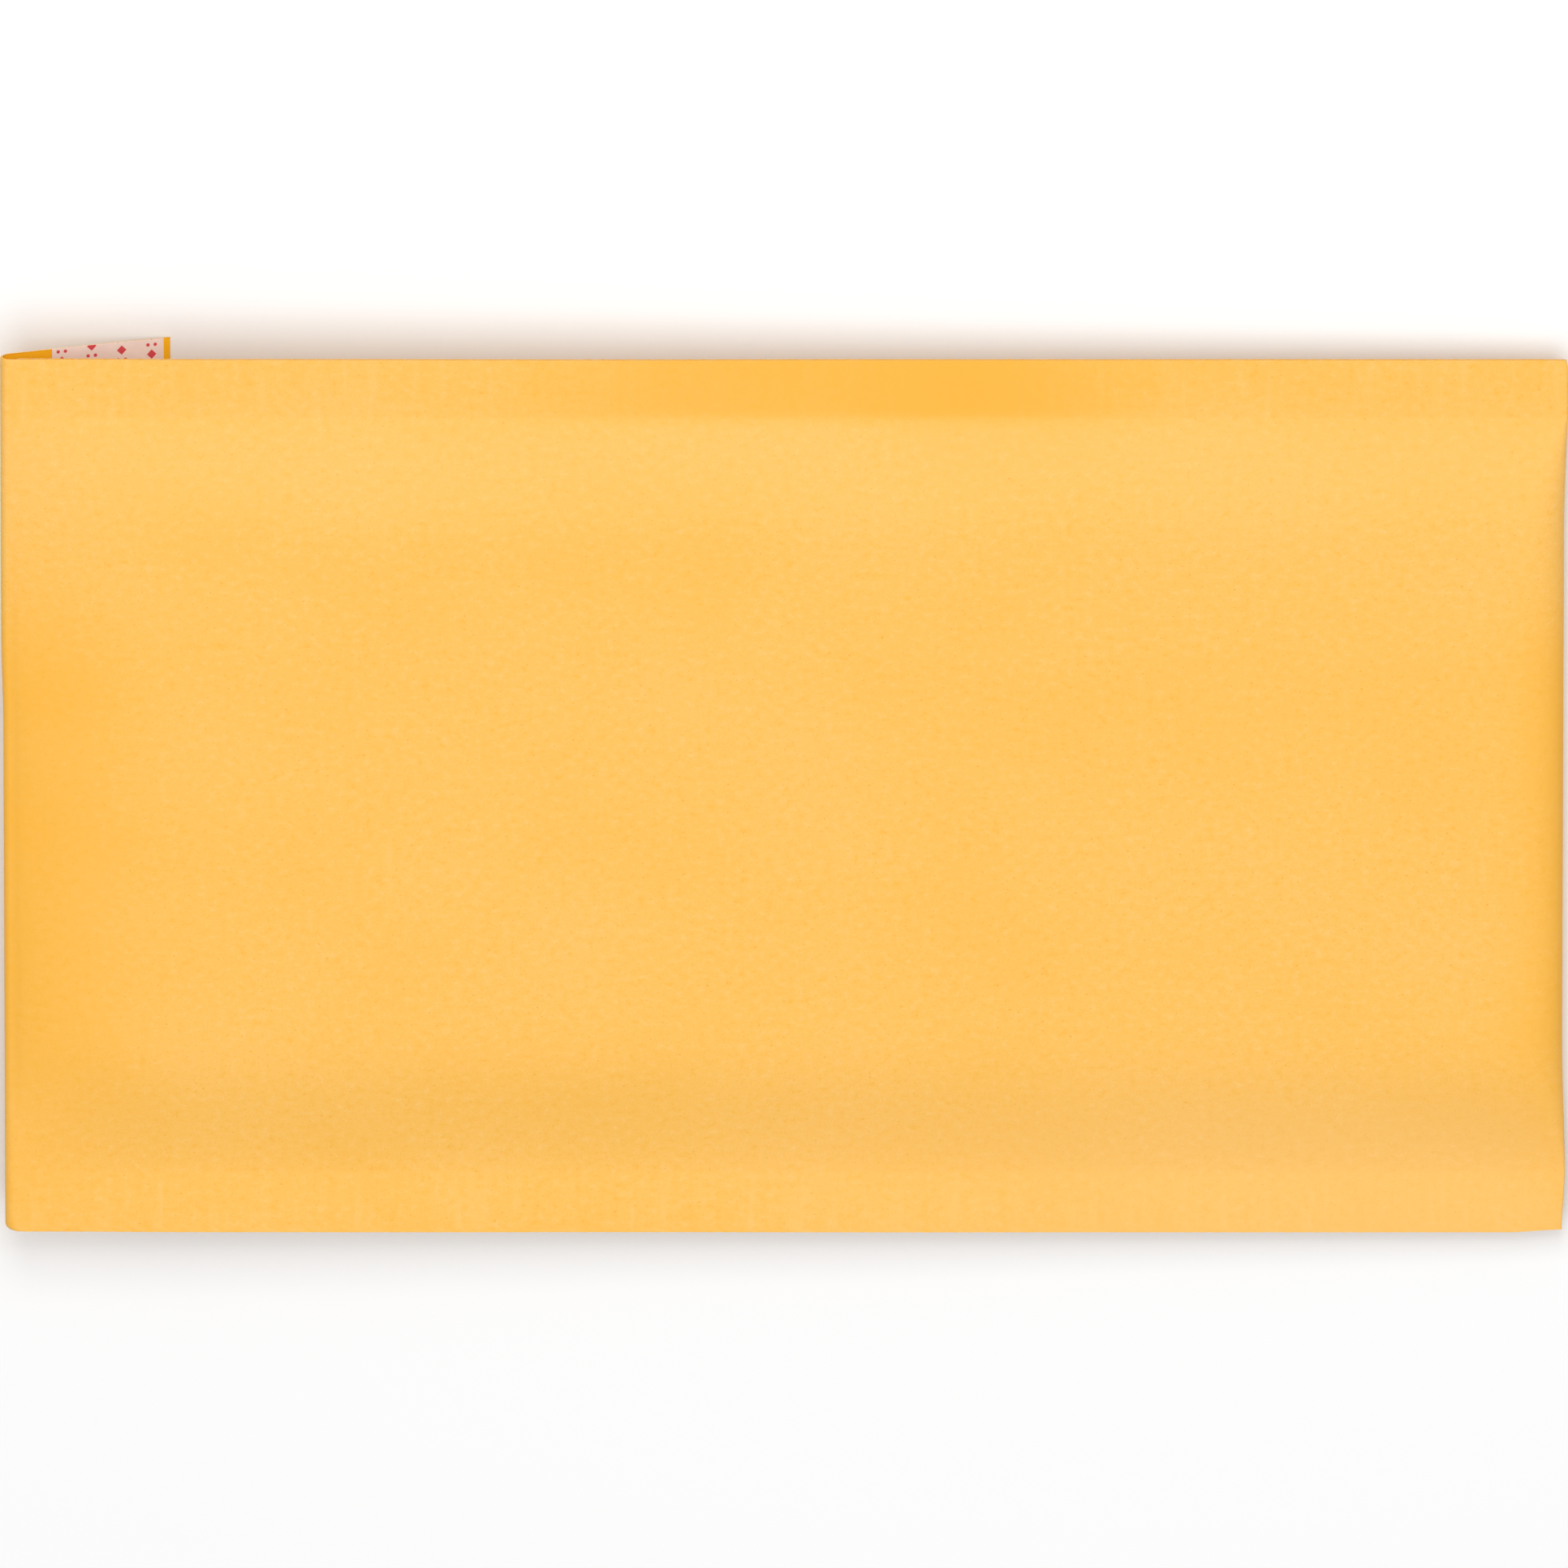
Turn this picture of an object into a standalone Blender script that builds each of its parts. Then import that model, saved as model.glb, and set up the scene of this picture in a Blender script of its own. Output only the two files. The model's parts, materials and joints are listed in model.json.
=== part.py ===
"""A padded mailing envelope, empty and lying face up, with its flap folded under and sprung part way open.

The envelope is modelled flat, in its own frame: X runs along it from the flap's fold to the closed fold, Y
runs across it between the side seams, and Z = 0 is the middle plane of the seams. The front panel faces +Z.
One empty then tilts it until the flap's free edge and the back panel both touch the ground.
"""

import math

import bmesh
import bpy

# The envelope's outline
LENGTH = 0.258  # flap fold to closed fold
WIDTH = 0.153  # over both side seams
SEAM_WIDTH = 0.0105  # pressed margin along each side
SEAM_HALF = 0.0006  # half the thickness of a pressed seam
PAD_HALF = 0.0043  # half the thickness of the padded middle

# The outer paper
PAPER = 0.0003
SHOULDER = 0.020  # width over which the padding falls to a seam
SHOULDER_ROUND = 2.2
SHOULDER_FULL = 1.8
FRONT_SLOPE = 0.026  # length over which the front falls to the flap's fold
FRONT_ROUND = 2.4
FRONT_FULL = 1.5
BACK_SLOPE = 0.030  # the same on the back panel
BACK_START = 0.001  # from the middle of the fold's loop to the back panel's cut edge
NOSE = 0.007  # length of the rounding at the closed fold
NOSE_PULL = 0.0006  # how far the padding draws the closed fold in

# The flap
LOOP_RADIUS = 0.00105
FLAP_ANGLE = math.radians(19)
FLAP_LENGTH = 0.02865

# The glued margins that hold the front and back panels together
BOND_HALF = 0.00045
BOND_INSET = 0.0005
BOND_END = 0.0003
BOND_MOUTH = 0.0025

# The bubble lining, a pouch with a flat pocket in it
GAP = 0.0003  # between pieces that lie on each other
LINING_MARGIN = 0.0014
LINING_MOUTH = 0.006
POCKET_HALF = 0.0003
POCKET_MARGIN = 0.005
POCKET_END = 0.010

# The closure on the flap's inner face
LINER_START = 0.0079  # from the flap's root
LINER_WIDTH = 0.0193
LINER_THICK = 0.0002
LINER_INSET = 0.0002
GLUE_WIDTH = 0.0150
GLUE_THICK = 0.0002
GLUE_INSET = 0.0040

# How finely the curves are cut
FOLD_STEPS = 8
SLOPE_STEPS = 7
NOSE_STEPS = 12
SHOULDER_STEPS = 6

LOOP_X = -LENGTH / 2 + LOOP_RADIUS
LOOP_Z = SEAM_HALF - LOOP_RADIUS
FLAP_ROOT_X = LOOP_X - LOOP_RADIUS * math.sin(FLAP_ANGLE)
FLAP_ROOT_Z = LOOP_Z - LOOP_RADIUS * math.cos(FLAP_ANGLE)
FLAP_TIP_X = FLAP_ROOT_X + FLAP_LENGTH * math.cos(FLAP_ANGLE)
FLAP_TIP_Z = FLAP_ROOT_Z - FLAP_LENGTH * math.sin(FLAP_ANGLE)
PAD_END_X = LENGTH / 2 - NOSE_PULL - NOSE
TILT = math.atan2(-PAD_HALF - FLAP_TIP_Z, PAD_END_X - FLAP_TIP_X)


def clear_scene():
    for thing in list(bpy.data.objects):
        bpy.data.objects.remove(thing, do_unlink=True)


def new_collection(name):
    group = bpy.data.collections.new(name)
    bpy.context.scene.collection.children.link(group)
    return group


def material(name, colour, roughness):
    made = bpy.data.materials.new(name)
    made.use_nodes = True
    shader = made.node_tree.nodes["Principled BSDF"]
    shader.inputs["Base Color"].default_value = (*colour, 1)
    shader.inputs["Roughness"].default_value = roughness
    shader.inputs["Metallic"].default_value = 0
    return made


def add_object(name, form, group, parent):
    """Turns a bmesh into a named object under the tilted empty."""
    mesh = bpy.data.meshes.new(name)
    form.to_mesh(mesh)
    form.free()
    thing = bpy.data.objects.new(name, mesh)
    group.objects.link(thing)
    thing.parent = parent
    return thing


def block(size):
    """A box of the given size, centred on its own origin."""
    form = bmesh.new()
    bmesh.ops.create_cube(form, size=1)
    bmesh.ops.scale(form, vec=size, verts=form.verts)
    return form


def eased(steps):
    """Shares from 0 to 1 that crowd together near 0, where a slope turns fastest."""
    return [1 - math.cos(math.pi / 2 * step / steps) for step in range(steps + 1)]


def padding_share(y):
    """How much of the padding's height there is at y: 1 over the middle, 0 in the seams."""
    across = (abs(y) - (WIDTH / 2 - SEAM_WIDTH - SHOULDER)) / SHOULDER
    across = min(max(across, 0), 1)
    return (1 - across**SHOULDER_ROUND) ** (1 / SHOULDER_FULL)


def half_thickness(y):
    return SEAM_HALF + (PAD_HALF - SEAM_HALF) * padding_share(y)


def front_point(y, share, inset):
    """A point on the front's slope: share 0 is at the flap's fold, 1 is on the flat of the panel."""
    rise = (1 - (1 - share) ** FRONT_ROUND) ** (1 / FRONT_FULL)
    height = SEAM_HALF + (half_thickness(y) - SEAM_HALF) * rise
    return LOOP_X + FRONT_SLOPE * share, height - inset


def back_point(y, share, inset):
    rise = math.sin(math.pi / 2 * share)
    depth = SEAM_HALF + (half_thickness(y) - SEAM_HALF) * rise
    return LOOP_X + BACK_SLOPE * share, inset - depth


def nose_points(y, inset):
    """The closed fold, from the front panel round to the back panel."""
    padded = padding_share(y)
    end = LENGTH / 2 - NOSE_PULL * padded - inset
    reach = SEAM_HALF + (NOSE - SEAM_HALF) * padded - inset
    half = half_thickness(y) - inset
    turns = [math.pi * step / NOSE_STEPS for step in range(NOSE_STEPS + 1)]
    return [(end - reach + reach * math.sin(turn), half * math.cos(turn)) for turn in turns]


def paper_section(y):
    """The paper's outer face at y: flap, its fold, front panel, closed fold and back panel."""
    flap = [(FLAP_TIP_X, FLAP_TIP_Z)]
    sweep = math.pi - FLAP_ANGLE
    turns = [math.pi / 2 + sweep * (1 - step / FOLD_STEPS) for step in range(FOLD_STEPS)]
    fold = [(LOOP_X + LOOP_RADIUS * math.cos(t), LOOP_Z + LOOP_RADIUS * math.sin(t)) for t in turns]
    front = [front_point(y, share, 0) for share in eased(SLOPE_STEPS)]
    cut_edge = BACK_START / BACK_SLOPE
    back_shares = [cut_edge + (1 - cut_edge) * step / SLOPE_STEPS for step in range(SLOPE_STEPS + 1)]
    back = [back_point(y, share, 0) for share in reversed(back_shares)]
    return flap + fold + front + nose_points(y, 0) + back


def lining_section(y):
    """The lining's outer face at y, a little inside the paper."""
    inset = PAPER + GAP
    mouth_x = -LENGTH / 2 + LINING_MOUTH
    steps = range(SLOPE_STEPS + 1)
    front_cut = (mouth_x - LOOP_X) / FRONT_SLOPE
    back_cut = (mouth_x - LOOP_X) / BACK_SLOPE
    front = [front_point(y, front_cut + (1 - front_cut) * step / SLOPE_STEPS, inset) for step in steps]
    back = [back_point(y, back_cut + (1 - back_cut) * step / SLOPE_STEPS, inset) for step in steps]
    return front + nose_points(y, inset) + back[::-1]


def widths(edges, shoulder_foot):
    """Places across the envelope: the given outer edges, then the shoulder, on both sides."""
    top = WIDTH / 2 - SEAM_WIDTH - SHOULDER
    shares = eased(SHOULDER_STEPS)
    half = edges + [shoulder_foot - (shoulder_foot - top) * share for share in shares]
    return [-y for y in half] + half[::-1]


def folded_grid(places, section):
    """One open sheet that follows the section at each place across the envelope."""
    paths = [section(y) for y in places]
    runs = len(paths[0]) - 1
    rows = len(places) - 1
    form = bmesh.new()
    bmesh.ops.create_grid(form, x_segments=runs, y_segments=rows, size=1)
    for vert in form.verts:
        along = round((vert.co.x + 1) / 2 * runs)
        across = round((vert.co.y + 1) / 2 * rows)
        x, z = paths[across][along]
        vert.co = (x, places[across], z)
    return form


def close_ends(form):
    """Caps a folded sheet into a solid: one face at its mouth and one at each side."""
    rim = [vert for vert in form.verts if vert.is_boundary]
    mouth_x = min(vert.co.x for vert in rim)
    side_y = max(vert.co.y for vert in rim)
    mouth = [vert for vert in rim if abs(vert.co.x - mouth_x) < PAPER]
    middle = sum(vert.co.z for vert in mouth) / len(mouth)
    over = sorted((vert for vert in mouth if vert.co.z > middle), key=lambda vert: vert.co.y)
    under = sorted((vert for vert in mouth if vert.co.z <= middle), key=lambda vert: vert.co.y)
    form.faces.new(over + under[::-1])
    for side in (-side_y, side_y):
        edge = [vert for vert in rim if abs(vert.co.y - side) < PAPER]
        turn = sorted(edge, key=lambda vert: math.atan2(vert.co.z - middle, vert.co.x))
        form.faces.new(turn)
    bmesh.ops.recalc_face_normals(form, faces=form.faces)


def boolean(thing, tool, operation):
    cut = thing.modifiers.new(tool.name, "BOOLEAN")
    cut.operation = operation
    cut.object = tool


def helper(name, form, group, parent, place):
    """A hidden shape that cuts or joins another."""
    thing = add_object(name, form, group, parent)
    thing.location = place
    thing.hide_render = True
    thing.display_type = "WIRE"
    return thing


def build_paper(group, helpers, rest):
    """Front panel, closed fold, back panel and flap: one sheet, bonded along both side seams."""
    places = widths([WIDTH / 2], WIDTH / 2 - SEAM_WIDTH)
    paper = add_object("kraft_outer", folded_grid(places, paper_section), group, rest)
    wall = paper.modifiers.new("paper", "SOLIDIFY")
    wall.thickness = PAPER
    wall.offset = -1
    wall.use_even_offset = True
    start = -LENGTH / 2 + BOND_MOUTH
    end = LENGTH / 2 - BOND_END
    breadth = SEAM_WIDTH - BOND_INSET
    for name, side in (("left_bond", -1), ("right_bond", 1)):
        place = ((start + end) / 2, side * (WIDTH / 2 - BOND_INSET - breadth / 2), 0)
        bond = helper(name, block((end - start, breadth, 2 * BOND_HALF)), helpers, rest, place)
        boolean(paper, bond, "UNION")
    return paper


def build_lining(group, helpers, rest):
    """The bubble film: two layers joined at the sides and round the closed fold, with a pocket between."""
    side = WIDTH / 2 - SEAM_WIDTH - LINING_MARGIN
    form = folded_grid(widths([], side), lining_section)
    close_ends(form)
    lining = add_object("bubble_lining", form, group, rest)
    start = -LENGTH / 2
    end = LENGTH / 2 - POCKET_END
    size = (end - start, 2 * (side - POCKET_MARGIN), 2 * POCKET_HALF)
    pocket = helper("pocket", block(size), helpers, rest, ((start + end) / 2, 0, 0))
    boolean(lining, pocket, "DIFFERENCE")
    return lining


def on_flap(thing, along, lift):
    """Lays a strip on the flap: along from the flap's root, lift from its outer face."""
    reach = (along * math.cos(FLAP_ANGLE), -along * math.sin(FLAP_ANGLE))
    out = (lift * math.sin(FLAP_ANGLE), lift * math.cos(FLAP_ANGLE))
    thing.location = (FLAP_ROOT_X + reach[0] + out[0], 0, FLAP_ROOT_Z + reach[1] + out[1])
    thing.rotation_euler = (0, FLAP_ANGLE, 0)


def build_closure(group, rest):
    """The glue line on the flap, and the liner that covers it."""
    middle = LINER_START + LINER_WIDTH / 2
    glue_size = (GLUE_WIDTH, WIDTH - 2 * GLUE_INSET, GLUE_THICK)
    glue = add_object("adhesive_strip", block(glue_size), group, rest)
    glue_top = PAPER + GAP + GLUE_THICK
    on_flap(glue, middle, glue_top - GLUE_THICK / 2)
    liner_size = (LINER_WIDTH, WIDTH - 2 * LINER_INSET, LINER_THICK)
    liner = add_object("release_liner", block(liner_size), group, rest)
    on_flap(liner, middle, glue_top + GAP + LINER_THICK / 2)
    return glue, liner


def settle(rest):
    """Tilts the envelope on to its flap, and centres it over the origin."""
    cosine, sine = math.cos(TILT), math.sin(TILT)
    left = LOOP_X * cosine + LOOP_Z * sine - LOOP_RADIUS
    right = (LENGTH / 2 - SEAM_HALF) * cosine + SEAM_HALF
    lowest = -FLAP_TIP_X * sine + FLAP_TIP_Z * cosine
    rest.rotation_euler = (0, TILT, 0)
    rest.location = (-(left + right) / 2, 0, -lowest)


def main():
    clear_scene()
    parts = new_collection("padded_envelope")
    helpers = new_collection("helpers")
    rest = bpy.data.objects.new("rest", None)
    parts.objects.link(rest)
    settle(rest)
    kraft = material("kraft_paper", (0.98, 0.56, 0.13), 0.75)
    film = material("bubble_film", (0.86, 0.87, 0.88), 0.35)
    glue = material("adhesive", (0.90, 0.86, 0.70), 0.40)
    liner = material("liner_paper", (0.86, 0.66, 0.60), 0.50)
    build_paper(parts, helpers, rest).data.materials.append(kraft)
    build_lining(parts, helpers, rest).data.materials.append(film)
    glue_strip, liner_strip = build_closure(parts, rest)
    glue_strip.data.materials.append(glue)
    liner_strip.data.materials.append(liner)


main()
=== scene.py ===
import json
import math

import bmesh
import bpy
from mathutils import Matrix, Vector, noise


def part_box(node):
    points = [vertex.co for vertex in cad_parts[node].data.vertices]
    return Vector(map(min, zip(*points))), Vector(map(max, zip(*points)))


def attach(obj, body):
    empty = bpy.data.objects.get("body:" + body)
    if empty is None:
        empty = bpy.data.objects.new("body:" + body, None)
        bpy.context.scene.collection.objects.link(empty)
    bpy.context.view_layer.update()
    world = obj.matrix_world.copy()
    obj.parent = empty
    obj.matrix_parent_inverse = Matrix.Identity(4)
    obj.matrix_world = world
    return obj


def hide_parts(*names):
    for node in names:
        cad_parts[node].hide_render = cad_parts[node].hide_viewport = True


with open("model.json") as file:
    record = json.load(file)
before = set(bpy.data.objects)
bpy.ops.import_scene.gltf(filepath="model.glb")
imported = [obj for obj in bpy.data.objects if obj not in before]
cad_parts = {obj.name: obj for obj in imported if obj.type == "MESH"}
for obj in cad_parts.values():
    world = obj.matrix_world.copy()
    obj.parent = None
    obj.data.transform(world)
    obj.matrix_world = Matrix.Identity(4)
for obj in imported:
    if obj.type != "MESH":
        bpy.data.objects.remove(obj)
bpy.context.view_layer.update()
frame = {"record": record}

mm = 0.001
print("frame loaded")

# the envelope as it lies flat: x from the flap's fold to the closed fold, z = 0 between the seams' sheets
envelope = {
    "length": 258 * mm,
    "width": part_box("kraft_outer")[1][1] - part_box("kraft_outer")[0][1],
    "seamWidth": 10.5 * mm,
    "seamHalf": 0.30 * mm,      # half the thickness of a pressed seam
    "padHalf": 4.3 * mm,        # half the thickness of the padded middle
    "shoulder": 20 * mm,        # width over which the padding falls to the upper seam
    "lowShoulder": 24 * mm,     # and to the lower one
    "frontSlope": 26 * mm,
    "backSlope": 30 * mm,
    "nose": 7 * mm,             # rounding at the closed fold
    "nosePull": 0.55 * mm,      # how far the padding draws the closed fold in
    "labelX": -4 * mm,          # the middle of the label face
}
halfLength = envelope["length"] / 2
halfWidth = envelope["width"] / 2
seamInner = halfWidth - envelope["seamWidth"]


def restMatrix():
    # from the flat envelope to how it lies, read from the label face of the frame
    label = next(m for m in frame["record"]["mounts"] if m["name"] == "label_face")
    tilt = math.atan2(label["axis"][0], label["axis"][2])
    turn = Matrix.Rotation(tilt, 4, "Y")
    face = turn @ Vector((envelope["labelX"], 0, envelope["padHalf"]))
    return Matrix.Translation(Vector(label["pos_m"]) - face) @ turn


rest = restMatrix()


def deselectAll():
    if bpy.context.object and bpy.context.object.mode != "OBJECT":
        bpy.ops.object.mode_set(mode="OBJECT")
    bpy.ops.object.select_all(action="DESELECT")


def makeActive(piece):
    deselectAll()
    piece.select_set(True)
    bpy.context.view_layer.objects.active = piece


def smoothstep(low, high, value):
    t = min(max((value - low) / (high - low), 0), 1)
    return t * t * (3 - 2 * t)


def eased(steps):
    # shares from 0 to 1 that crowd together near 0
    return [1 - math.cos(math.pi / 2 * step / steps) for step in range(steps + 1)]


def cloud(x, y, size, seed):
    # smooth noise with features of about this size, from -1 to 1
    return noise.noise(Vector((x / size, y / size, seed)))


def measured(line):
    # how far along a line of points each one is
    lengths = [0.0]
    for a, b in zip(line, line[1:]):
        lengths.append(lengths[-1] + (b - a).length)
    return lengths


def gridSheet(name, points, widths):
    # a primitive grid folded so that its vertex (i, j) lies at points[j][i]
    # its UV map is the blank laid flat, in metres
    lengths = [measured(line) for line in points]
    columns, rows = len(points[0]), len(points)
    deselectAll()
    bpy.ops.mesh.primitive_grid_add(x_subdivisions=columns - 1, y_subdivisions=rows - 1, size=1)
    sheet = bpy.context.object
    sheet.name = sheet.data.name = name
    place = []
    for vert in sheet.data.vertices:
        i = round((vert.co.x + 0.5) * (columns - 1))
        j = round((vert.co.y + 0.5) * (rows - 1))
        place.append((i, j))
        vert.co = points[j][i]
    uv = sheet.data.uv_layers.active.data
    for loop in sheet.data.loops:
        i, j = place[loop.vertex_index]
        uv[loop.index].uv = (lengths[j][i], widths[j])
    return sheet


def thicken(piece, thickness):
    # gives a sheet its wall, inwards
    # if it has three materials, the second is inside and the third on the cut edges
    wall = piece.modifiers.new("wall", "SOLIDIFY")
    wall.thickness = thickness
    wall.offset = -1
    if len(piece.data.materials) > 1:
        wall.material_offset = 1
        wall.material_offset_rim = 2
    makeActive(piece)
    bpy.ops.object.modifier_apply(modifier=wall.name)


def layDown(piece, node):
    # lays the piece where the envelope rests, and hands it to the frame
    makeActive(piece)
    piece.data.transform(rest)
    bpy.ops.object.shade_smooth_by_angle(angle=math.radians(50))
    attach(piece, "root")
    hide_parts(node)


class Wire:
    # one output socket, with arithmetic that adds Math nodes
    def __init__(self, maker, socket):
        self.maker = maker
        self.socket = socket

    def math(self, operation, *values):
        return self.maker.node("ShaderNodeMath", {"operation": operation}, dict(enumerate(values)))

    def __add__(self, other):
        return self.math("ADD", self, other)

    def __radd__(self, other):
        return self.math("ADD", other, self)

    def __sub__(self, other):
        return self.math("SUBTRACT", self, other)

    def __rsub__(self, other):
        return self.math("SUBTRACT", other, self)

    def __mul__(self, other):
        return self.math("MULTIPLY", self, other)

    def __rmul__(self, other):
        return self.math("MULTIPLY", other, self)

    def __truediv__(self, other):
        return self.math("DIVIDE", self, other)

    def __rtruediv__(self, other):
        return self.math("DIVIDE", other, self)

    def __gt__(self, other):
        return self.math("GREATER_THAN", self, other)

    def __lt__(self, other):        # this also answers a number > a wire
        return self.math("LESS_THAN", self, other)

    def abs(self):
        return self.math("ABSOLUTE", self)

    def fract(self):
        return self.math("FRACT", self)

    def floor(self):
        return self.math("FLOOR", self)

    def power(self, other):
        return self.math("POWER", self, other)

    def larger(self, other):
        return self.math("MAXIMUM", self, other)


class Maker:
    # one material being made
    def __init__(self, name):
        self.material = bpy.data.materials.new(name)
        self.material.use_nodes = True
        self.tree = self.material.node_tree
        self.tree.nodes.clear()

    def node(self, kind, settings=None, inputs=None, output=0):
        # the settings come first, because they can change which sockets there are
        made = self.tree.nodes.new(kind)
        for key, value in (settings or {}).items():
            setattr(made, key, value)
        for key, value in (inputs or {}).items():
            if isinstance(value, Wire):
                self.tree.links.new(value.socket, made.inputs[key])
            else:
                made.inputs[key].default_value = value
        return Wire(self, made.outputs[output])

    def flat(self):
        # the piece's own UV map, which is in metres on the flat sheet
        return self.node("ShaderNodeUVMap", {"uv_map": "UVMap"})

    def place(self):
        return self.node("ShaderNodeTexCoord", output="Object")

    def split(self, vector):
        made = self.node("ShaderNodeSeparateXYZ", {}, {0: vector}).socket.node
        return [Wire(self, socket) for socket in made.outputs]

    def stretched(self, vector, scale, offset):
        return self.node("ShaderNodeMapping", {}, {"Vector": vector, "Scale": scale, "Location": offset})

    def noise(self, vector, scale, offset=(0, 0, 0), detail=2.0, roughness=0.5):
        # scale is in features per metre along each axis
        place = self.stretched(vector, scale, offset)
        inputs = {"Vector": place, "Scale": 1.0, "Detail": detail, "Roughness": roughness}
        return self.node("ShaderNodeTexNoise", {}, inputs, "Fac")

    def band(self, value, low, high, fromTo=(0.0, 1.0)):
        # a soft step from one value to the other, between low and high
        inputs = {"Value": value, "From Min": low, "From Max": high}
        inputs.update({"To Min": fromTo[0], "To Max": fromTo[1]})
        return self.node("ShaderNodeMapRange", {"interpolation_type": "SMOOTHSTEP"}, inputs)

    def ramp(self, value, low, high):
        return self.node("ShaderNodeMapRange", {}, {"Value": value, "From Min": low, "From Max": high})

    def mix(self, factor, a, b):
        return self.node("ShaderNodeMix", {"data_type": "RGBA"}, {0: factor, 6: a, 7: b}, 2)

    def bump(self, height, distance, strength):
        inputs = {"Height": height, "Distance": distance, "Strength": strength}
        return self.node("ShaderNodeBump", {}, inputs, "Normal")

    def surface(self, inputs):
        shader = self.node("ShaderNodeBsdfPrincipled", {}, inputs, "BSDF")
        out = self.tree.nodes.new("ShaderNodeOutputMaterial")
        self.tree.links.new(shader.socket, out.inputs["Surface"])
        return self.material


# tones and finish of the kraft paper
kraft = {
    "tone": (0.915, 0.501, 0.102, 1),
    "pale": (0.940, 0.562, 0.175, 1),
    # deep is a random tone of the paper and also the upper seam's painted shade
    "deep": (0.880, 0.440, 0.042, 1),
    # milky is a random tone of the paper and also the colour of the painted sheen
    "milky": (0.935, 0.545, 0.185, 1),
    "speck": (0.800, 0.350, 0.025, 1),
    "edge": (0.930, 0.720, 0.420, 1),
    "inner": (0.980, 0.480, 0.006, 1),      # the inner side, which only the flap shows, with painted light: brighter and deeper orange for light bounced into its shadow
    "innerShare": 0.92,
    "folded": (0.900, 0.430, 0.028, 1),     # painted shade along both folds
    "roughness": 0.72,
    "gloss": 0.35,
    "innerGloss": 0.15,
    "relief": 0.05 * mm,
}

# patterns of the paper: features per metre along and across the sheet, offset, detail, roughness
kraftPatterns = {
    "clouds": ((620, 740, 1), (0, 0, 0), 4.0, 0.62),
    "broad": ((28, 34, 1), (3, 1, 0), 2.0, 0.5),
    "fibres": ((900, 4200, 1), (0, 0, 0), 3.0, 0.65),
    "crossed": ((3800, 1000, 1), (7, 4, 0), 2.0, 0.6),
    "grain": ((2600, 2600, 1), (1, 9, 0), 2.0, 0.7),
    "specks": ((1500, 1900, 1), (11, 5, 0), 1.0, 0.5),
    "blots": ((480, 560, 1), (2, 15, 0), 2.0, 0.6),
}

# how they colour it, one over the other
# pattern, the value where it starts to show, the value where it is full, how much, tone
kraftLayers = [
    ("clouds", 0.50, 0.74, 0.60, "pale"),
    ("clouds", 0.50, 0.26, 0.55, "deep"),
    ("broad", 0.45, 0.72, 0.20, "deep"),
    ("broad", 0.52, 0.22, 0.14, "milky"),
    ("blots", 0.60, 0.76, 0.55, "deep"),
    ("fibres", 0.55, 0.78, 0.45, "pale"),
    ("crossed", 0.56, 0.78, 0.40, "deep"),
    ("grain", 0.52, 0.30, 0.40, "deep"),
    ("specks", 0.69, 0.77, 0.60, "speck"),
]

# the same, in the crimped seams only
seamPatterns = {
    "streaks": ((560, 60, 1), (4, 6, 0), 2.0, 0.5),
}
seamLayers = [
    ("streaks", 0.50, 0.76, 0.28, "pale"),
    ("streaks", 0.50, 0.26, 0.20, "deep"),
]

# where the outer face has painted shade by both folds and in the upper seam, and a painted sheen on the
# upper shoulder and by the lower seam
# a pair is where it starts to show and where it is full, and a share is how much it shows there
toned = {
    "flapFold": 30.4 * mm,                  # along the flat sheet, from the flap's free edge
    "flapFade": 48 * mm,
    "flapPower": 1.7,
    "flapShare": 0.85,
    "closedFold": 288.5 * mm,
    "closedFade": 20 * mm,
    "closedPower": 2.2,
    "closedShare": 0.80,
    "foldTop": (52 * mm, 12 * mm),          # the painted shade of both folds, across the sheet
    "foldLow": (-95 * mm, -22 * mm),
    "sheenHigh": (42 * mm, 60 * mm),         # a painted sheen, a milky band on the upper shoulder
    "sheenEnd": (73 * mm, 61 * mm),
    "sheenShare": 0.20,
    "sheenLow": (-42 * mm, -64 * mm),        # and a painted sheen by the lower seam towards the closed fold
    "sheenFrom": (130 * mm, 250 * mm),
    "sheenLowShare": 0.36,
    "seamMiddle": 170 * mm,                 # painted shade, a deeper stretch in the upper seam
    "seamFade": (68 * mm, 20.4 * mm),
    "seamShare": 0.90,
    "seamEdge": 2.5 * mm,                   # how softly the seams' own streaks begin
    "upperSeamEdge": 2 * mm,
}


def madePatterns(m, flat, patterns):
    return {name: m.noise(flat, *pattern) for name, pattern in patterns.items()}


def layered(m, colour, patterns, layers, where=1.0):
    # lays each pattern's tone over the colour
    for name, low, high, share, tone in layers:
        colour = m.mix(m.band(patterns[name], low, high) * (where * share), colour, kraft[tone])
    return colour


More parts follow.
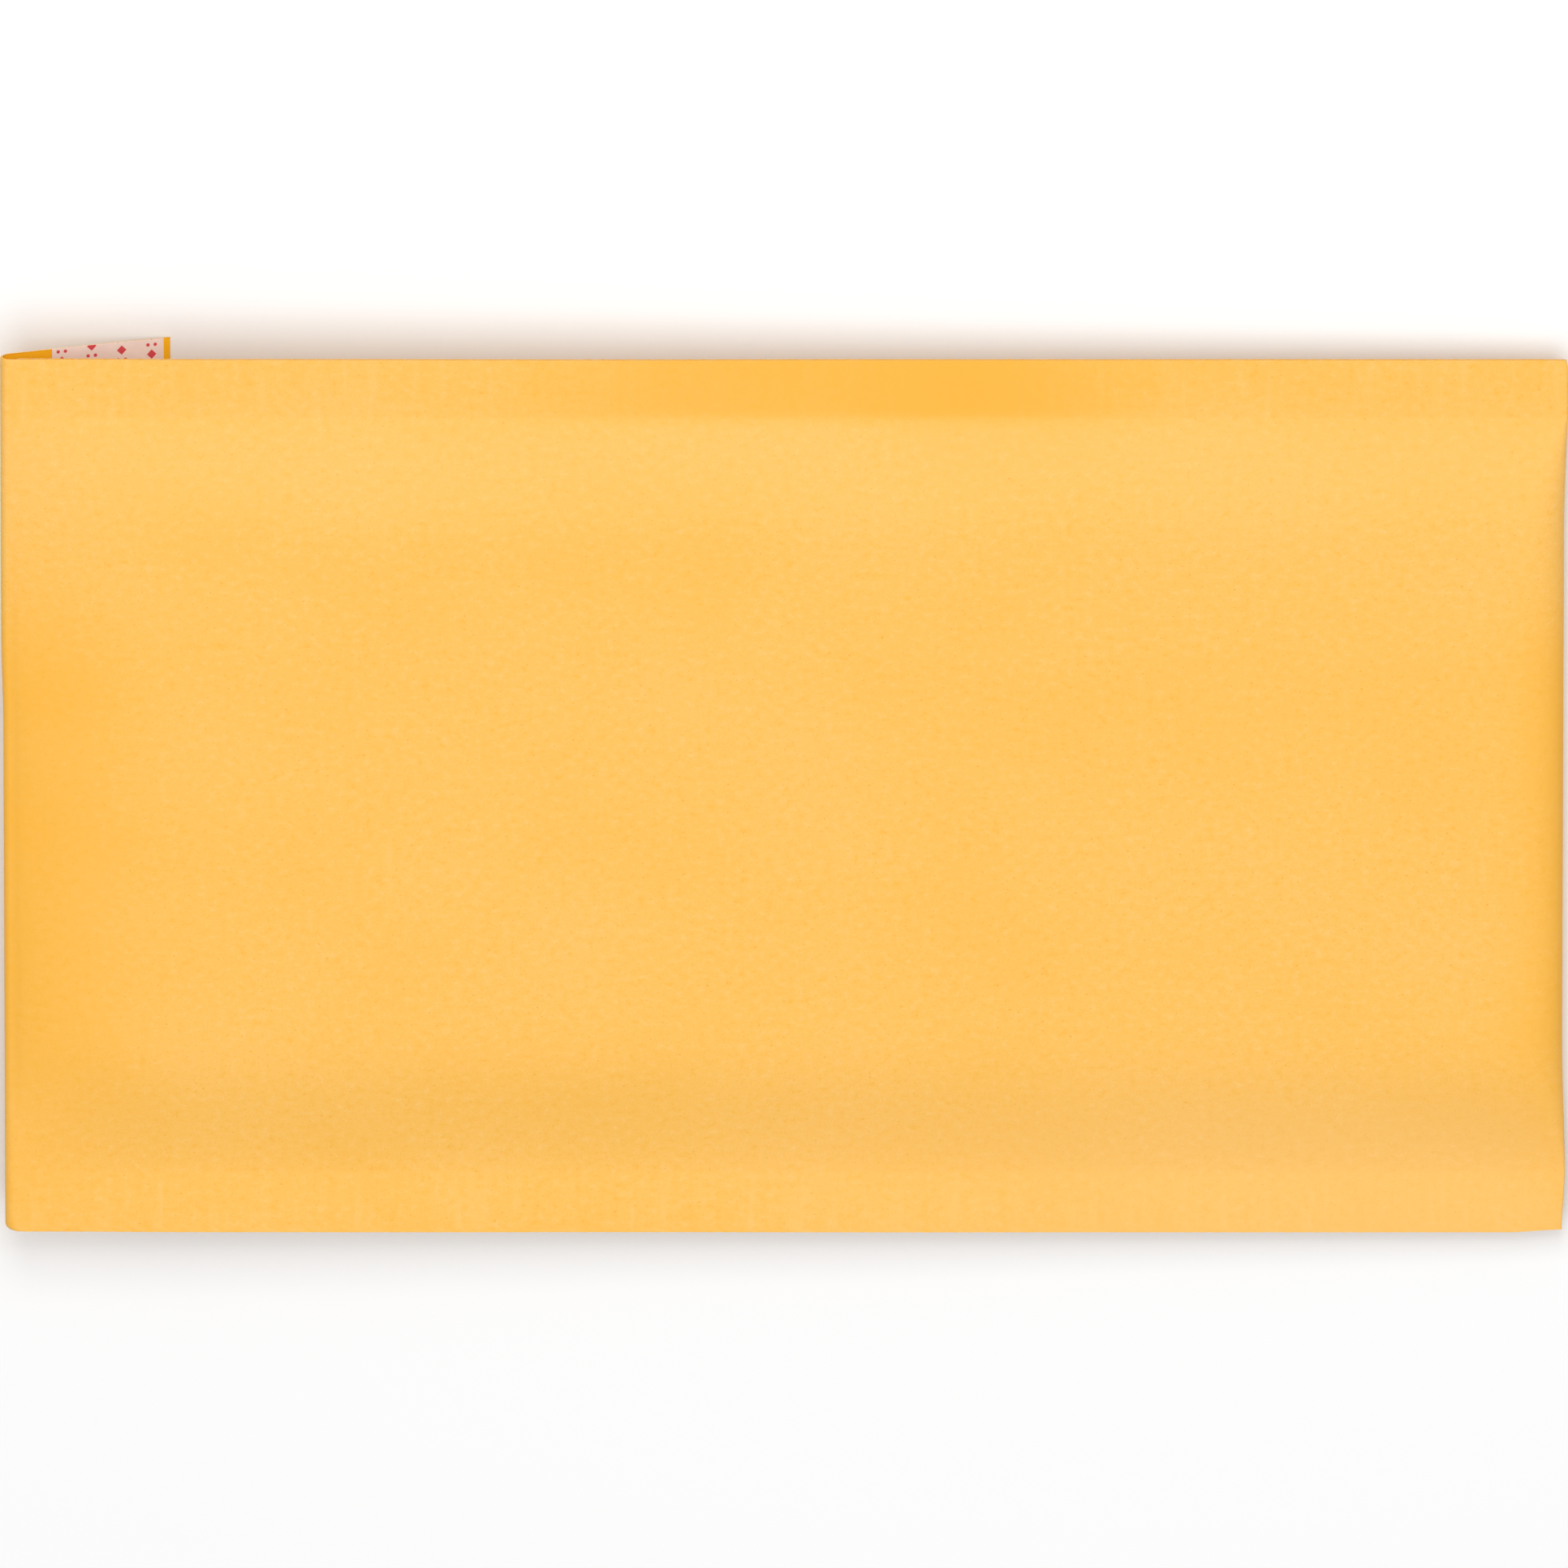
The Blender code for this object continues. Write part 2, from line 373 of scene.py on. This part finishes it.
def paintedShadeSheenAndStreaks(m, colour, flat, broad):
    # the outer face's painted shade by both folds and in the upper seam, and its painted sheen on the upper
    # shoulder and by the lower seam, over the seams' own streaks
    along, across = m.split(flat)[:2]
    patchy = m.band(broad, 0.25, 0.75, (0.75, 1.0))
    seam = m.band(across.abs(), seamInner - toned["seamEdge"], seamInner + toned["seamEdge"])
    upperSeam = m.band(across, seamInner - toned["upperSeamEdge"], seamInner + toned["upperSeamEdge"])
    middle = m.band(across, *toned["foldTop"]) * m.band(across, *toned["foldLow"])
    flapShade = m.ramp(along, toned["flapFold"] + toned["flapFade"], toned["flapFold"])
    flapShade = flapShade.power(toned["flapPower"]) * (along > toned["flapFold"] - 0.5 * mm)
    closedShade = m.ramp((along - toned["closedFold"]).abs(), toned["closedFade"], 0.0)
    closedShade = closedShade.power(toned["closedPower"])
    seamShade = m.band((along - toned["seamMiddle"]).abs(), *toned["seamFade"]) * upperSeam
    sheen = m.band(across, *toned["sheenHigh"]) * m.band(across, *toned["sheenEnd"])
    sheenLow = m.band(across, *toned["sheenLow"]) * m.band(along, *toned["sheenFrom"])
    colour = layered(m, colour, madePatterns(m, flat, seamPatterns), seamLayers, seam)
    # painted sheen: paler, milky bands on the upper shoulder and by the lower seam
    colour = m.mix(sheen * patchy * toned["sheenShare"], colour, kraft["milky"])
    colour = m.mix(sheenLow * patchy * toned["sheenLowShare"], colour, kraft["milky"])
    # painted shade: deeper orange by the flap's fold and by the closed fold
    colour = m.mix(flapShade * middle * patchy * toned["flapShare"], colour, kraft["folded"])
    colour = m.mix(closedShade * middle * patchy * toned["closedShare"], colour, kraft["folded"])
    # painted shade: a deeper stretch in the middle of the upper seam
    return m.mix(seamShade * patchy * toned["seamShare"], colour, kraft["deep"])


def kraftMaterial(name, inner=False):
    m = Maker(name)
    flat = m.flat()
    patterns = madePatterns(m, flat, kraftPatterns)
    grain = patterns["grain"]
    colour = layered(m, kraft["tone"], patterns, kraftLayers)
    if inner:
        # painted light: the flap's inner face is made brighter and deeper orange for the light bounced into
        # its shadow
        colour = m.mix(kraft["innerShare"], colour, kraft["inner"])
    else:
        colour = paintedShadeSheenAndStreaks(m, colour, flat, patterns["broad"])
    rough = kraft["roughness"] + (grain - 0.5) * 0.25 - m.band(patterns["specks"], 0.74, 0.80) * 0.1
    height = patterns["fibres"] * 0.5 + patterns["crossed"] * 0.35 + grain * 0.3 + patterns["clouds"] * 0.6
    return m.surface({
        "Base Color": colour,
        "Roughness": rough,
        "Specular IOR Level": kraft["innerGloss"] if inner else kraft["gloss"],
        "Normal": m.bump(height, kraft["relief"], 0.6),
    })


def paperEdgeMaterial():
    m = Maker("kraftCutEdge")
    fuzz = m.noise(m.place(), (2500, 2500, 6000), detail=2.0, roughness=0.6)
    colour = m.mix(m.band(fuzz, 0.35, 0.65), kraft["edge"], kraft["tone"])
    return m.surface({"Base Color": colour, "Roughness": 0.85, "Specular IOR Level": 0.2})


# the shape of the folded sheet, which the lining and the closure follow
paper = {
    "thickness": 0.14 * mm,
    "ribPitch": 2.38 * mm,      # crimp ribs across the seams
    "ribDepth": 0.08 * mm,
    "columnsPerRib": 3,         # columns of faces
    "noseSteps": 16,
    "foldSteps": 10,
    "flapSteps": 20,
    "rowGap": 3.4 * mm,
    "seamRows": [0, 0.15, 0.4, 0.8, 1.3, 2.5, 4.5, 6.5, 8.5, 10.0, 10.5],
    "shoulderRows": 11,
    "flapAngle": math.radians(16.7),
    "flapFrom": (0.72 * mm, -2.52 * mm),    # a point on the flap's outer face: in from the fold, and z
    "flapLength": 28.35 * mm,               # from that point to the free edge
    "broadSwell": 0.30 * mm,        # slow waves of the padded faces
    "smallSwell": 0.10 * mm,
    "pucker": 0.12 * mm,
    "puckerReach": 22 * mm,         # how far they run in from the seams
    "backEase": 0.17 * mm,          # how far the back draws in by the closed fold
    "seamWave": 0.20 * mm,
    "seamTurn": 0.60 * mm,          # how far the margins turn up
    "foldWave": 0.3 * mm,
    "foldPullReach": 20 * mm,       # how far the wave of each fold runs into the panels
    "endPullReach": 30 * mm,
    "lowerCorner": 1.1 * mm,        # rounding worn into the flap fold's corners
    "upperCorner": 0.35 * mm,
    "lowerEndPull": 0.5 * mm,       # how far the closed fold's corners stand back
    "upperEndPull": 0.25 * mm,
    "sideRise": 0.5 * mm,
}

# soft dents and ridges of the front, in millimetres: middle, half sizes, degrees turned, height
marks = [
    ((117.1, 20.5), (1.6, 14), 0, 0.10),
    ((46.8, -35.0), (3.5, 9), 0, -0.12),
    ((71.6, -1.4), (6, 3.5), 0, -0.10),
    ((12.6, 54.2), (8, 3), 0, -0.10),
    ((0, 20.0), (150, 4.5), -1, -0.08),
    ((-2.0, -51.0), (1.9, 13), -30, 0.12),
    ((-47.0, -58.0), (3.2, 7), -25, 0.10),
]


def padShare(y):
    # how much of the padding's height there is at y; the upper shoulder is fuller
    width = envelope["shoulder"] if y > 0 else envelope["lowShoulder"]
    up = min(max((seamInner - abs(y)) / width, 0), 1)
    full = math.sin(math.pi / 2 * up)
    if y > 0:
        return 0.75 * full ** 0.82 + 0.25 * smoothstep(0, 1, up)
    return 0.35 * full + 0.65 * smoothstep(0, 1, up)


def foldRise(share, y, side):
    # how much of its height the padding has at this share of the slope up from the flap's fold
    if side < 0:
        return math.sin(math.pi / 2 * share)
    full = (1 - (1 - share) ** 2.0) ** (1 / 1.35)
    gentle = math.sin(math.pi / 2 * share)
    lean = smoothstep(15 * mm, 60 * mm, y)
    return full * (1 - lean) + gentle * lean


def swell(x, y, side):
    # slow waves of the padded face, small dents, and puckers that run in from the seams
    seed = 3.7 if side > 0 else 11.3
    wave = cloud(x, y * 1.3, 62 * mm, seed) * paper["broadSwell"]
    wave += cloud(x, y, 21 * mm, seed + 5) * paper["smallSwell"]
    reach = smoothstep(paper["puckerReach"], 2 * mm, seamInner - abs(y))
    puckers = cloud(x, y * 0.12, 7 * mm, seed + 9 + (2 if y > 0 else 0))
    wave += puckers * reach * paper["pucker"]
    if side > 0:
        for middle, half, turn, height in marks:
            away = Vector((x, y)) / mm - Vector(middle)
            away.rotate(Matrix.Rotation(math.radians(-turn), 2))
            wave += height * mm * math.exp(-(away.x / half[0]) ** 2 - (away.y / half[1]) ** 2)
    else:
        # the back stays on the ground
        wave = min(wave, 0) - paper["backEase"] * smoothstep(60 * mm, 118 * mm, x)
    return wave


def crimp(x, y):
    # ribs pressed through both sheets of a seam, uneven along it
    inside = smoothstep(seamInner - 2.5 * mm, seamInner + 1.5 * mm, abs(y))
    firm = 0.65 + 0.5 * cloud(x, y, 35 * mm, 21.0 if y > 0 else 27.0)
    rib = math.cos(2 * math.pi * x / paper["ribPitch"])
    return inside * firm * rib * paper["ribDepth"]


def seamLift(x, y):
    # the margins turn up and wave a little, out from the padding
    out = smoothstep(seamInner - 2 * mm, halfWidth, abs(y))
    ends = smoothstep(-halfLength + 8 * mm, -halfLength + 35 * mm, x)
    wave = cloud(x, 0, 55 * mm, 31.0 if y > 0 else 37.0) * paper["seamWave"]
    return out * (paper["seamTurn"] * (0.4 + 0.6 * ends) + wave * ends)


def skinHeight(x, y, side, rise, inset):
    # the outer face of a sheet that lies inset inside the paper's outer face
    share = padShare(y)
    seam = envelope["seamHalf"]
    thick = seam + (envelope["padHalf"] - seam) * share * rise
    thick += swell(x, y, side) * min(share * 1.2, 1) * smoothstep(0, 0.5, rise)
    return side * (thick - inset) + seamLift(x, y) + crimp(x, y)


def endPull(y):
    # how far the closed fold stands back from its furthest point, at each place across
    pull = envelope["nosePull"] * padShare(y)
    pull += smoothstep(halfWidth - 1.5 * mm, halfWidth, y) * paper["upperEndPull"]
    pull += smoothstep(-seamInner, -halfWidth, y) * paper["lowerEndPull"]
    return pull


def foldPull(y):
    # the same for the flap's fold: a slight wave, and worn corners
    pull = smoothstep(28 * mm, 12 * mm, y) * paper["foldWave"]
    for side, radius in ((-1, paper["lowerCorner"]), (1, paper["upperCorner"])):
        into = min(max((side * y - (halfWidth - radius)) / radius, 0), 1)
        pull += radius * (1 - math.sqrt(1 - into * into))
    return pull


def sideShift(x, y):
    # the lower edge rises at its far end
    low = smoothstep(-seamInner + 12 * mm, -halfWidth, y)
    return low * smoothstep(halfLength - 9 * mm, halfLength, x) * paper["sideRise"]


flapRoot = (-halfLength + paper["flapFrom"][0], paper["flapFrom"][1])


def foldLoop(y):
    # middle and radius of the paper's loop at the flap's fold
    # it meets the front above and the flap below
    angle = paper["flapAngle"]
    top = envelope["seamHalf"] + seamLift(-halfLength, y)
    reach = flapRoot[0] * math.sin(angle) + flapRoot[1] * math.cos(angle)
    radius = top * math.cos(angle) - halfLength * math.sin(angle) - reach
    radius /= 1 - math.sin(angle) + math.cos(angle)
    return -halfLength + radius, top - radius, radius


def flapPoint(along, lift=0.0):
    # a point over the flap's outer face, from its root towards its free edge
    angle = paper["flapAngle"]
    x = flapRoot[0] + along * math.cos(angle) + lift * math.sin(angle)
    z = flapRoot[1] - along * math.sin(angle) + lift * math.cos(angle)
    return x, z


def crossRows():
    # places across the envelope, close together at the edges and on the shoulders
    edge = [halfWidth - d * mm for d in paper["seamRows"]]
    shares = eased(paper["shoulderRows"])[1:]
    upper = edge + [seamInner - envelope["shoulder"] * share for share in shares]
    lower = edge + [seamInner - envelope["lowShoulder"] * share for share in shares]
    span = upper[-1] + lower[-1]
    count = round(span / paper["rowGap"])
    middle = [-lower[-1] + span * step / count for step in range(1, count)]
    return [-y for y in lower] + middle + upper[::-1]


def panelStations(start, end, gap):
    count = round((end - start) / gap)
    return [start + (end - start) * step / count for step in range(count + 1)]


def panelPoint(x, y, side, inset):
    # a point of the front (side 1) or the back (side -1), inset from its outer face
    slope = envelope["frontSlope"] if side > 0 else envelope["backSlope"]
    share = min(max((x - foldLoop(y)[0]) / slope, 0), 1)
    z = skinHeight(x, y, side, foldRise(share, y, side), inset)
    left = foldPull(y) * smoothstep(-halfLength + paper["foldPullReach"], -halfLength, x)
    right = endPull(y) * smoothstep(halfLength - paper["endPullReach"], halfLength - envelope["nose"], x)
    return Vector((x + left - right, y + sideShift(x, y), z))


def nosePoint(turn, y, inset):
    # round the closed fold, turn 0 on the front and pi on the back
    share = padShare(y)
    seam = envelope["seamHalf"]
    reach = seam + (envelope["nose"] - seam) * share
    start = halfLength - reach
    front = panelPoint(start, y, 1, inset)
    back = panelPoint(start, y, -1, inset)
    middle = (front.z + back.z) / 2
    half = (front.z - back.z) / 2
    x = start - endPull(y) + (reach - inset) * math.sin(turn)
    return Vector((x, y + sideShift(halfLength, y), middle + half * math.cos(turn)))


def flapPath(y):
    # from the flap's free edge round the loop, up to where the front begins
    foldX, foldZ, radius = foldLoop(y)
    angle = paper["flapAngle"]
    root = (foldX - radius * math.sin(angle) - flapRoot[0]) / math.cos(angle)
    path = []
    for step in range(paper["flapSteps"], 0, -1):
        share = step / paper["flapSteps"]
        x, z = flapPoint(root + (paper["flapLength"] - root) * share)
        path.append(Vector((x + foldPull(y) * (1 - share), y, z)))
    for step in range(paper["foldSteps"]):
        turn = math.pi / 2 + (math.pi - angle) * (1 - step / paper["foldSteps"])
        x = foldX + radius * math.cos(turn) + foldPull(y)
        path.append(Vector((x, y, foldZ + radius * math.sin(turn))))
    return path


def paperPath(y):
    # the whole sheet at y: flap, loop, front, closed fold and back
    gap = paper["ribPitch"] / paper["columnsPerRib"]
    foldX = foldLoop(y)[0]
    common = halfLength - envelope["nose"]
    noseStart = halfLength - envelope["seamHalf"] - (envelope["nose"] - envelope["seamHalf"]) * padShare(y)
    toNose = [common + (noseStart - common) * share for share in (0.34, 0.67)]
    front = panelStations(foldX, common, gap) + toNose
    back = panelStations(foldX + 1 * mm, common, gap * 1.04) + toNose
    path = flapPath(y)
    path += [panelPoint(x, y, 1, 0) for x in front]
    turns = [math.pi * step / paper["noseSteps"] for step in range(paper["noseSteps"] + 1)]
    path += [nosePoint(turn, y, 0) for turn in turns]
    path += [panelPoint(x, y, -1, 0) for x in reversed(back)]
    return path


def buildPaper():
    rows = crossRows()
    sheet = gridSheet("kraftOuter", [paperPath(y) for y in rows], rows)
    sheet.data.materials.append(kraftMaterial("kraftFace"))
    sheet.data.materials.append(kraftMaterial("kraftInside", inner=True))
    sheet.data.materials.append(paperEdgeMaterial())
    thicken(sheet, paper["thickness"])
    layDown(sheet, "kraft_outer")
    return sheet


kraftOuter = buildPaper()
print("paper folded,", len(kraftOuter.data.polygons), "faces")


# the bubble film inside
lining = {
    "inset": 0.16 * mm,
    "clear": 0.35 * mm,         # further in where it is padded
    "film": 0.09 * mm,
    "mouth": 4.5 * mm,          # from the flap's fold to the film's open end
    "gap": 4 * mm,              # between the film's columns
    "bubbleRadius": 4.6 * mm,
    "bubblePitch": 10.6 * mm,
    "margin": 2 * mm,           # from the seams to the first bubbles
    "noseSteps": 10,
    "pocketHalf": 0.3 * mm,
    "lowest": 0.7 * mm,         # bubbles lower than this are pressed flat
    "footFlat": 0.04,           # what is left of the sphere's lower half
    "fullness": (0.8, 0.7),     # below 1 the bubble is fuller, out and up
    "clearTone": (0.90, 0.91, 0.92, 1),
    "hazeTone": (0.80, 0.83, 0.86, 1),
    "roughness": (0.14, 0.34),
    "alpha": 0.55,
}


def filmInset(y):
    return lining["inset"] + lining["clear"] * padShare(y)


def filmPath(y):
    inset = filmInset(y)
    start = -halfLength + lining["mouth"]
    common = halfLength - envelope["nose"]
    stations = panelStations(start, common, lining["gap"])
    path = [panelPoint(x, y, 1, inset) for x in stations]
    turns = [math.pi * step / lining["noseSteps"] for step in range(lining["noseSteps"] + 1)]
    path += [nosePoint(turn, y, inset) for turn in turns]
    path += [panelPoint(x, y, -1, inset) for x in reversed(stations)]
    return path


def filmMaterial():
    m = Maker("bubbleFilm")
    haze = m.noise(m.place(), (90, 90, 90), detail=3.0)
    return m.surface({
        "Base Color": m.mix(m.band(haze, 0.3, 0.7), lining["clearTone"], lining["hazeTone"]),
        "Roughness": m.band(haze, 0.3, 0.7, lining["roughness"]),
        "Alpha": lining["alpha"],
        "IOR": 1.49,
        "Normal": m.bump(haze, 0.2 * mm, 0.4),
    })


def makeDome():
    # one bubble, modelled once: half a sphere with full sides and a closed, nearly flat foot
    deselectAll()
    bpy.ops.mesh.primitive_uv_sphere_add(segments=12, ring_count=8, radius=1)
    dome = bpy.context.object
    out, up = lining["fullness"]
    for vert in dome.data.vertices:
        if vert.co.z < 0:
            vert.co.z *= lining["footFlat"]
        else:
            side = vert.co.xy
            side = side.normalized() * side.length ** out
            vert.co = (side.x, side.y, vert.co.z ** up)
    return dome


def bubblePlaces():
    # staggered rows of bubbles on the padded part
    radius, pitch = lining["bubbleRadius"], lining["bubblePitch"]
    rowPitch = pitch * math.sqrt(3) / 2
    last = seamInner - radius - lining["margin"]
    places = []
    for row in range(math.ceil(2 * last / rowPitch)):
        x = -halfLength + lining["mouth"] + radius + (pitch / 2 if row % 2 else 0)
        while x < halfLength - envelope["nose"] - radius:
            places.append((x, row * rowPitch - last))
            x += pitch
    return places


def bubbleHeight(x, y, side):
    # the room between the film and the pocket's middle, all over the bubble
    radius = lining["bubbleRadius"]
    around = [(0, 0), (radius, 0), (-radius, 0), (0, radius), (0, -radius)]
    insets = [filmInset(y) + lining["film"] * 0.5] + [filmInset(y)] * 4
    heights = [abs(panelPoint(x + dx, y + dy, side, inset).z) for (dx, dy), inset in zip(around, insets)]
    return min(heights) - lining["pocketHalf"]


def placeBubble(form, dome, x, y, side, tall):
    # a copy of the dome, with its foot on the film and its top towards the pocket
    radius = lining["bubbleRadius"]
    inset = filmInset(y) + lining["film"] * 0.5
    top = panelPoint(x, y, side, inset).z
    first = len(form.verts)
    form.from_mesh(dome.data)
    form.verts.ensure_lookup_table()
    for vert in form.verts[first:]:
        up = vert.co.z
        at = (x + vert.co.x * radius, y + vert.co.y * radius)
        seat = panelPoint(*at, side, inset).z
        if up > 0:
            height = seat * (1 - up) + (top - side * up * tall) * up
        else:
            height = seat + side * 0.02 * mm
        vert.co = (*at, height)


def buildLining():
    rows = [y for y in crossRows() if abs(y) < halfWidth - 0.1 * mm]
    film = gridSheet("bubbleLining", [filmPath(y) for y in rows], rows)
    film.data.materials.append(filmMaterial())
    thicken(film, lining["film"])
    dome = makeDome()
    form = bmesh.new()
    form.from_mesh(film.data)
    count = 0
    for side in (1, -1):
        for x, y in bubblePlaces():
            tall = bubbleHeight(x, y, side)
            if tall > lining["lowest"]:
                placeBubble(form, dome, x, y, side, tall)
                count += 1
    form.to_mesh(film.data)
    form.free()
    bpy.data.objects.remove(dome, do_unlink=True)
    layDown(film, "bubble_lining")
    print("lining made,", count, "bubbles")
    return film


bubbleLining = buildLining()


# the glue line and its release liner, on the flap's inner face
closure = {
    "linerStart": 8.05 * mm,    # from the flap's root
    "linerWidth": 19.15 * mm,
    "linerThick": 0.07 * mm,
    "linerInset": 0.02 * mm,
    "glueWidth": 15.0 * mm,
    "glueThick": 0.12 * mm,
    "glueInset": 3.5 * mm,
    "linerWave": 0.03 * mm,
    "linerGap": 0.03 * mm,
    "linerCurl": 0.10 * mm,
    "motifPitch": 5.13 * mm,
    "motifFirst": 1.7 * mm,     # middle of the first row, from the liner's edge
    "motifStep": 3.3 * mm,
    "lozenge": 0.82 * mm,
    "dot": 0.30 * mm,
    "dotAside": 0.62 * mm,
    "lozengeSoft": 0.05 * mm,   # how softly the ink ends
    "dotSoft": 0.04 * mm,
    "motifShift": 0.37,         # of a step, from each row to the next
    "paperTone": (0.930, 0.775, 0.730, 1),
    "paperShade": (0.870, 0.700, 0.660, 1),
    "paperFibre": (0.920, 0.780, 0.740, 1),
    "ink": (0.680, 0.030, 0.055, 1),
    "gluePale": (0.90, 0.85, 0.66, 1),
    "glueDeep": (0.84, 0.76, 0.52, 1),
}


def glueMaterial():
    m = Maker("glueLine")
    ripple = m.noise(m.place(), (900, 60, 900))
    return m.surface({
        "Base Color": m.mix(m.band(ripple, 0.3, 0.7), closure["gluePale"], closure["glueDeep"]),
        "Roughness": m.band(ripple, 0.3, 0.7, (0.18, 0.32)),
        "Normal": m.bump(ripple, 0.05 * mm, 0.6),
    })


def motif(m, along, across):
    # rows of solid lozenges with two dots between them, as a mask
    pitch, step = closure["motifPitch"], closure["motifStep"]
    rowAt = (along - closure["motifFirst"]) / pitch + 0.5
    u = (rowAt.fract() - 0.5) * pitch
    v = ((across / step + rowAt.floor() * closure["motifShift"]).fract() - 0.5) * step
    soft = closure["lozengeSoft"]
    lozenge = m.band(u.abs() + v.abs(), closure["lozenge"] + soft, closure["lozenge"] - soft)
    dotU = u.abs() - closure["dotAside"]
    dotV = v.abs() - step / 2
    away = (dotU * dotU + dotV * dotV).power(0.5)
    soft = closure["dotSoft"]
    return lozenge.larger(m.band(away, closure["dot"] + soft, closure["dot"] - soft))


def linerMaterial():
    m = Maker("linerPaper")
    flat = m.flat()
    along, across = m.split(flat)[:2]
    clouds = m.noise(flat, (300, 260, 1), detail=3.0, roughness=0.55)
    fibres = m.noise(flat, (3500, 900, 1), roughness=0.6)
    rubbed = m.noise(flat, (2200, 2200, 1), roughness=0.6)
    colour = m.mix(m.band(clouds, 0.3, 0.7) * 0.6, closure["paperTone"], closure["paperShade"])
    colour = m.mix(m.band(fibres, 0.6, 0.8) * 0.15, colour, closure["paperFibre"])
    ink = motif(m, along, across) * m.band(rubbed, 0.25, 0.42, (0.72, 0.96))
    return m.surface({
        "Base Color": m.mix(ink, colour, closure["ink"]),
        "Roughness": m.band(clouds, 0.3, 0.7, (0.42, 0.55)),
        "Specular IOR Level": 0.45,
        "Normal": m.bump(fibres + clouds, 0.03 * mm, 0.5),
    })


def stripSheet(name, start, width, inset, columns, rows, lift):
    # a strip laid along the flap, with lift(along, y) above the flap's outer face
    span = halfWidth - inset
    ys = [-span + 2 * span * j / (rows - 1) for j in range(rows)]
    points = []
    for y in ys:
        line = []
        for i in range(columns):
            along = start + width * i / (columns - 1)
            x, z = flapPoint(along, lift(along, y))
            line.append(Vector((x, y, z)))
        points.append(line)
    return gridSheet(name, points, ys)


def insideGlue(along, y):
    # how far a place lies within the glue line's outline
    middle = closure["linerStart"] + closure["linerWidth"] / 2
    return min(closure["glueWidth"] / 2 - abs(along - middle), halfWidth - closure["glueInset"] - abs(y))


def glueTop(along, y):
    return paper["thickness"] + closure["glueThick"] * smoothstep(-0.1 * mm, 0.5 * mm, insideGlue(along, y))


def linerTop(along, y):
    # the liner rides up over the glue, waves a little, and curls at its first edge
    overGlue = smoothstep(-1.2 * mm, 0.2 * mm, insideGlue(along, y)) * closure["glueThick"]
    wave = abs(cloud(along, y, 14 * mm, 41.0)) * closure["linerWave"]
    curl = smoothstep(1.2 * mm, 0, along - closure["linerStart"]) * closure["linerCurl"]
    return paper["thickness"] + overGlue + closure["linerThick"] + closure["linerGap"] + curl + wave


def buildGlue():
    start = closure["linerStart"] + (closure["linerWidth"] - closure["glueWidth"]) / 2
    glue = stripSheet("glueLine", start, closure["glueWidth"], closure["glueInset"], 12, 60, glueTop)
    glue.data.materials.append(glueMaterial())
    thicken(glue, closure["glueThick"] * 0.5)
    layDown(glue, "adhesive_strip")
    return glue


def buildLiner():
    sizes = [closure[key] for key in ("linerStart", "linerWidth", "linerInset")]
    liner = stripSheet("releaseLiner", *sizes, 40, 160, linerTop)
    liner.data.materials.append(linerMaterial())
    thicken(liner, closure["linerThick"])
    layDown(liner, "release_liner")
    return liner


glueLine = buildGlue()
releaseLiner = buildLiner()
print("closure laid on the flap")


# floor, light and view
studio = {
    "floorSize": 40,
    "floorTone": (0.90, 0.90, 0.90, 1),
    "worldStrength": 0.32,
    "lamps": {
        "key": {"from": Vector((0.08, 0.02, 1.64)), "size": 2.0, "power": 22.2},
        "fill": {"from": Vector((-0.05, 1.05, 1.25)), "size": 0.8, "power": 9.0},
    },
    "viewTilt": math.radians(20),
    "viewDistance": 12.0,
    "viewWidth": 258.55 * mm,
    "viewRise": 1.88 * mm,      # from the panel's middle up to the view's
    "sensor": 36,
}


def buildFloor():
    deselectAll()
    bpy.ops.mesh.primitive_plane_add(size=studio["floorSize"], location=(0, 0, 0))
    floor = bpy.context.object
    floor.name = "floor"
    m = Maker("floorPaint")
    paint = {"Base Color": studio["floorTone"], "Roughness": 0.9, "Specular IOR Level": 0.1}
    floor.data.materials.append(m.surface(paint))


def buildLights():
    world = bpy.data.worlds.new("studio")
    world.use_nodes = True
    background = world.node_tree.nodes["Background"]
    background.inputs["Color"].default_value = (1, 1, 1, 1)
    background.inputs["Strength"].default_value = studio["worldStrength"]
    bpy.context.scene.world = world
    for name, wanted in studio["lamps"].items():
        lamp = bpy.data.lights.new(name, "AREA")
        lamp.shape = "SQUARE"
        lamp.size = wanted["size"]
        lamp.energy = wanted["power"]
        held = bpy.data.objects.new(name, lamp)
        bpy.context.collection.objects.link(held)
        held.location = wanted["from"]
        held.rotation_euler = (-wanted["from"]).to_track_quat("-Z", "Y").to_euler()


def buildCamera():
    # straight at the front panel, then leaned back from its far long edge
    lens = bpy.data.cameras.new("camera")
    camera = bpy.data.objects.new("camera", lens)
    bpy.context.collection.objects.link(camera)
    lens.sensor_width = studio["sensor"]
    lens.lens = studio["sensor"] * studio["viewDistance"] / studio["viewWidth"]
    lens.clip_end = 200
    lean = studio["viewTilt"]
    up = Vector((0, math.cos(lean), -math.sin(lean)))
    back = Vector((0, math.sin(lean), math.cos(lean)))
    spot = up * studio["viewRise"] + back * studio["viewDistance"]
    camera.matrix_world = rest @ Matrix.Translation(spot) @ Matrix.Rotation(-lean, 4, "X")
    bpy.context.scene.camera = camera


buildFloor()
buildLights()
buildCamera()
bpy.context.scene.view_settings.view_transform = "Standard"
print("stage set")
